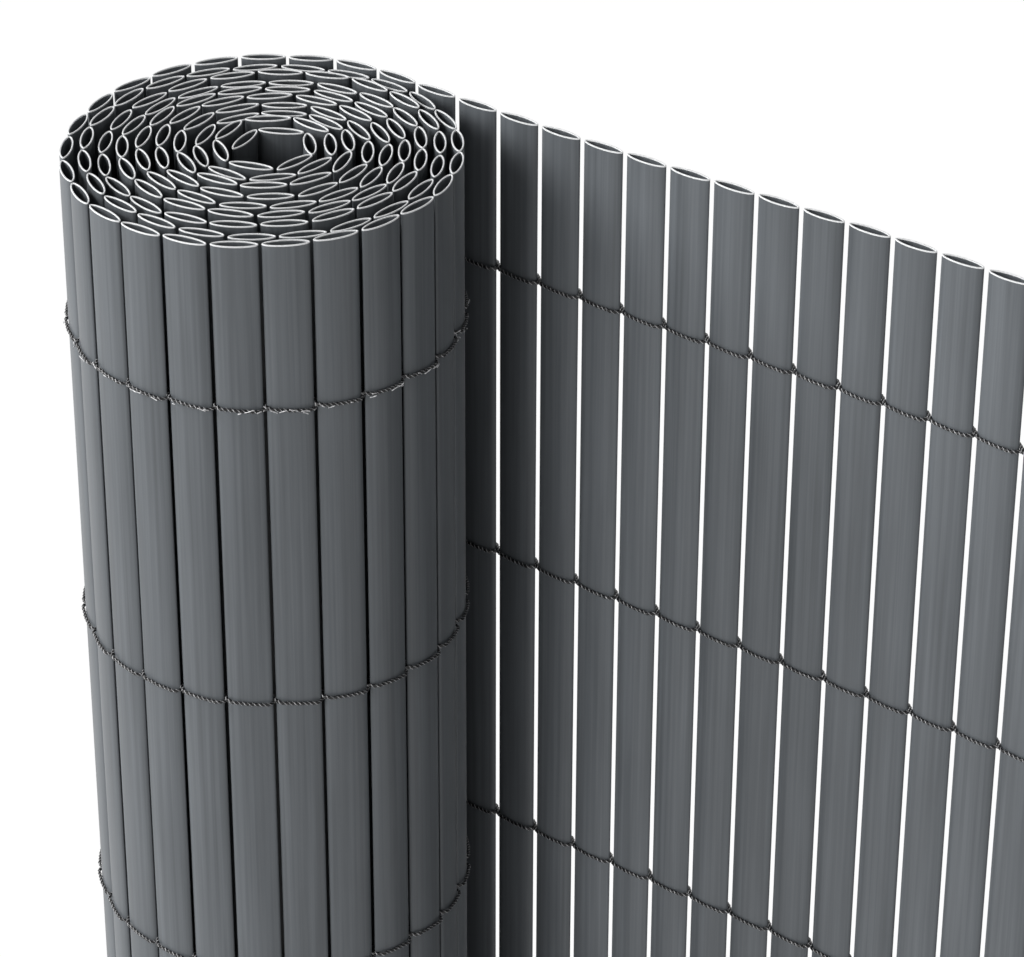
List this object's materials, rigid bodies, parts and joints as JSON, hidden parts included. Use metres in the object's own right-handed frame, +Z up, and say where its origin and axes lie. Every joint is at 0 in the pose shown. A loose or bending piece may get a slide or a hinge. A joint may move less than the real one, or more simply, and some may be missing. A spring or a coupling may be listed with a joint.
{
  "type": "pvc privacy screen",
  "caption": "Slatted privacy screen of hollow upright plastic slats tied with cord, most of it wound into a standing roll and the rest running off straight.",
  "frame": {"origin": "centre of the footprint on the floor, under the cut lower ends of the slats", "axes": "+Z up along the slats, +X along the straight run from the roll to its free end, -Y the side that the roll stands out to"},
  "size_m": [0.372, 0.1524, 0.9],
  "materials": {
    "slat": "satin anthracite extruded plastic with fine lengthwise streaks",
    "cord": "glossy black twisted cord"
  },
  "bodies": {
    "root": {"roll_slats_01": "slat", "roll_slats_02": "slat", "roll_slats_03": "slat", "roll_slats_04": "slat", "roll_slats_05": "slat", "roll_slats_06": "slat", "roll_slats_07": "slat", "roll_slats_08": "slat", "roll_slats_09": "slat", "roll_slats_10": "slat", "roll_slats_11": "slat", "roll_slats_12": "slat", "roll_slats_13": "slat", "roll_slats_14": "slat", "roll_slats_15": "slat", "roll_slats_16": "slat", "roll_slats_17": "slat", "roll_slats_18": "slat", "roll_slats_19": "slat", "roll_slats_20": "slat", "roll_slats_21": "slat", "roll_slats_22": "slat", "roll_slats_23": "slat", "roll_slats_24": "slat", "roll_slats_25": "slat", "roll_slats_26": "slat", "roll_slats_27": "slat", "roll_slats_28": "slat", "roll_slats_29": "slat", "slat_01": "slat", "slat_02": "slat", "slat_03": "slat", "slat_04": "slat", "slat_05": "slat", "slat_06": "slat", "slat_07": "slat", "slat_08": "slat", "slat_09": "slat", "slat_10": "slat", "slat_11": "slat", "slat_12": "slat", "slat_13": "slat", "slat_14": "slat", "slat_15": "slat", "tie_cord_row_1": "cord", "tie_cord_row_2": "cord", "tie_cord_row_3": "cord", "tie_cord_row_4": "cord", "tie_cord_row_5": "cord", "tie_cord_row_6": "cord", "tie_cord_row_7": "cord"}
  },
  "joints": []
}
